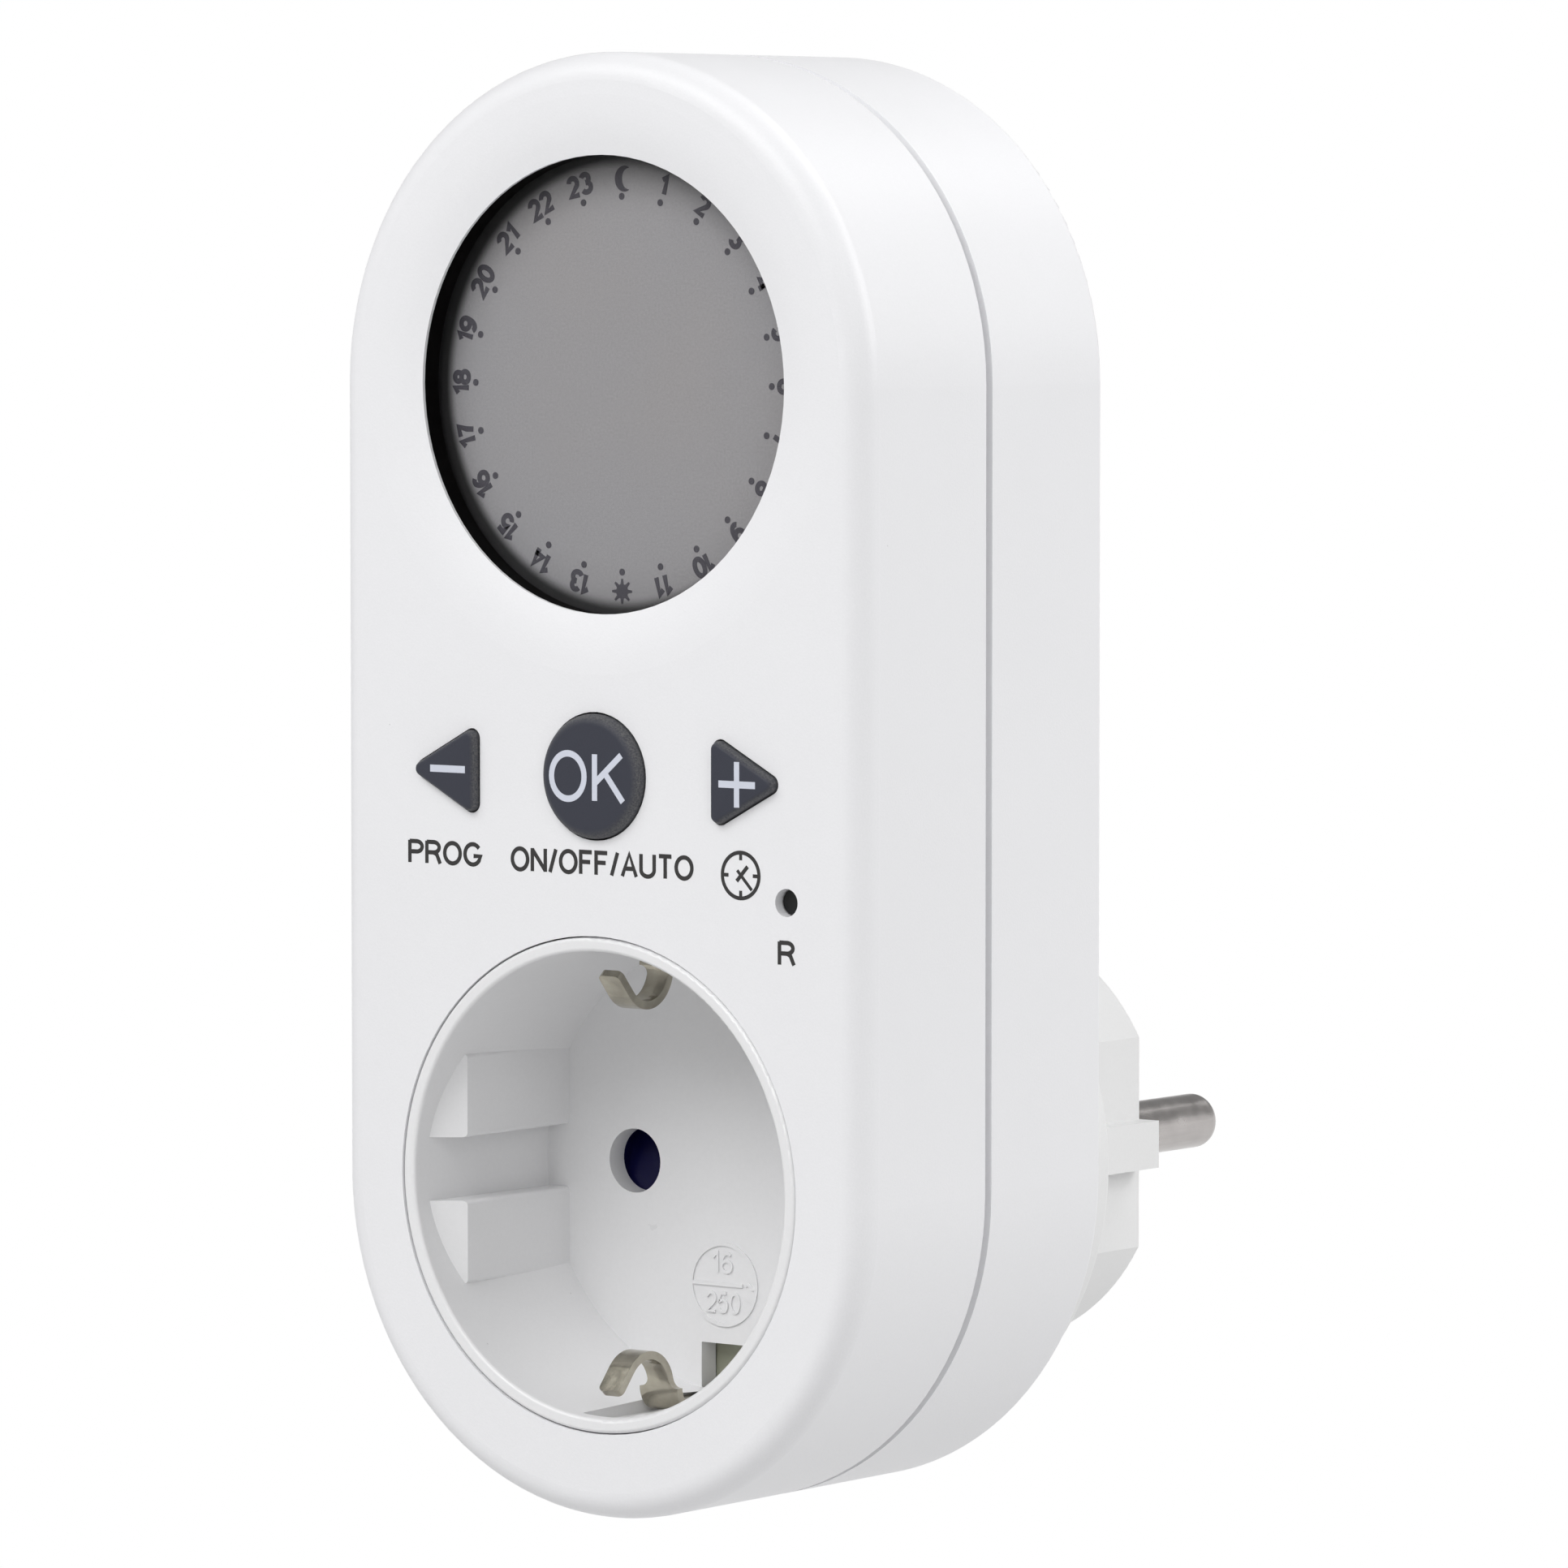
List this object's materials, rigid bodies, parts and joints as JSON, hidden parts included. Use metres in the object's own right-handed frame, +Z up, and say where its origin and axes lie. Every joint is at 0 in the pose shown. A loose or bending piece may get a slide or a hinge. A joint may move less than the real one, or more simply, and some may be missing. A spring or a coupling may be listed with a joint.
{
  "type": "plug-in timer switch",
  "caption": "Plug-in timer switch: an obround case with an earthed plug on its back, and an earthed socket, a round display and pressable keys on its front.",
  "frame": {"origin": "centre of the plug's engagement face, midway between the two pins", "axes": "+Y along the pins into the wall socket, +Z up from the socket to the display, +X to the user's right; the front with the display faces -Y"},
  "size_m": [0.055, 0.076, 0.122],
  "materials": {
    "case_white": "satin",
    "insert_white": "satin",
    "plug_white": "satin",
    "bezel_black": "satin",
    "window_clear": "clear, glossy",
    "lcd_grey": "smooth",
    "key_slate": "fine satin",
    "shutter_blue": "satin",
    "switch_black": "satin",
    "pin_nickel": "nickel plated, satin",
    "earth_nickel": "nickel-plated bronze strip",
    "bar_brass": "plain brass strip",
    "spring_steel": "drawn wire",
    "screw_zinc": "zinc plated",
    "board_green": "solder resist",
    "component_black": "moulded epoxy",
    "capacitor_yellow": "moulded box",
    "capacitor_sleeve": "shrink sleeve",
    "varistor_blue": "dipped epoxy",
    "resistor_beige": "lacquer",
    "battery_steel": "nickel-plated can",
    "crystal_can": "tinned can",
    "foam_black": "closed-cell foam",
    "zebra_rubber": "layered rubber",
    "relay_black": "moulded cover",
    "relay_iron": "zinc-plated iron",
    "bobbin_nylon": "nylon",
    "winding_copper": "enamelled copper wire",
    "contact_silver": "silvered bronze",
    "carrier_grey": "moulded polyamide"
  },
  "bodies": {
    "case": {"front_cover": "case_white", "rear_cover": "case_white", "plug_body": "plug_white", "plug_pin_left": "pin_nickel", "plug_pin_right": "pin_nickel", "socket_insert": "insert_white", "shutter_spring": "spring_steel", "contact_carrier": "carrier_grey", "carrier_screws": "screw_zinc", "socket_contact_left": "contact_silver", "socket_contact_right": "contact_silver", "live_bar": "bar_brass", "neutral_bar": "bar_brass", "switched_bar": "bar_brass", "earth_strip_top": "earth_nickel", "earth_strip_bottom": "earth_nickel", "earth_link": "earth_nickel", "lcd_bezel": "bezel_black", "lcd_window": "window_clear", "lcd_panel": "lcd_grey", "lcd_pad": "foam_black", "zebra_strip_top": "zebra_rubber", "zebra_strip_bottom": "zebra_rubber", "minus_switch": "component_black", "ok_switch": "component_black", "plus_switch": "component_black", "reset_switch": "component_black", "control_board": "board_green", "control_board_screws": "screw_zinc", "controller_chip": "component_black", "crystal": "crystal_can", "backup_battery": "battery_steel", "board_header": "component_black", "power_board": "board_green", "power_board_screws": "screw_zinc", "film_capacitor": "capacitor_yellow", "smoothing_capacitor": "capacitor_sleeve", "varistor": "varistor_blue", "bridge_rectifier": "component_black", "fuse_resistor": "resistor_beige", "relay_base": "relay_black", "relay_cover": "relay_black", "relay_yoke": "relay_iron", "relay_bobbin": "bobbin_nylon", "relay_winding": "winding_copper", "relay_fixed_contact": "contact_silver", "case_screws": "screw_zinc"},
    "minus_key": {"minus_key": "key_slate", "minus_plunger": "switch_black"},
    "ok_key": {"ok_key": "key_slate", "ok_plunger": "switch_black"},
    "plus_key": {"plus_key": "key_slate", "plus_plunger": "switch_black"},
    "reset": {"reset_plunger": "switch_black"},
    "shutter": {"safety_shutter": "shutter_blue"},
    "relay_arm": {"relay_armature": "relay_iron", "relay_moving_contact": "contact_silver"}
  },
  "joints": [
    {"name": "minus_press", "type": "slide", "parent": "case", "child": "minus_key", "axis": [0, 1, 0], "range_m": [0, 0.0008], "stiffness_N_per_m": 1200, "springref_m": -0.0003},
    {"name": "ok_press", "type": "slide", "parent": "case", "child": "ok_key", "axis": [0, 1, 0], "range_m": [0, 0.0008], "stiffness_N_per_m": 1200, "springref_m": -0.0003},
    {"name": "plus_press", "type": "slide", "parent": "case", "child": "plus_key", "axis": [0, 1, 0], "range_m": [0, 0.0008], "stiffness_N_per_m": 1200, "springref_m": -0.0003},
    {"name": "reset_press", "type": "slide", "parent": "case", "child": "reset", "axis": [0, 1, 0], "range_m": [0, 0.0004], "stiffness_N_per_m": 1500, "springref_m": -0.0002},
    {"name": "shutter_open", "type": "slide", "parent": "case", "child": "shutter", "axis": [0, 0, -1], "range_m": [0, 0.006], "stiffness_N_per_m": 90, "springref_m": -0.002, "deforming": ["shutter_spring"]},
    {"name": "relay_close", "type": "hinge", "parent": "case", "child": "relay_arm", "pos_m": [0.0129, -0.03963, 0.0445], "axis": [0, 0, -1], "range_deg": [0, 2.5], "stiffness_Nm_per_rad": 0.02, "springref_deg": -4.58}
  ]
}
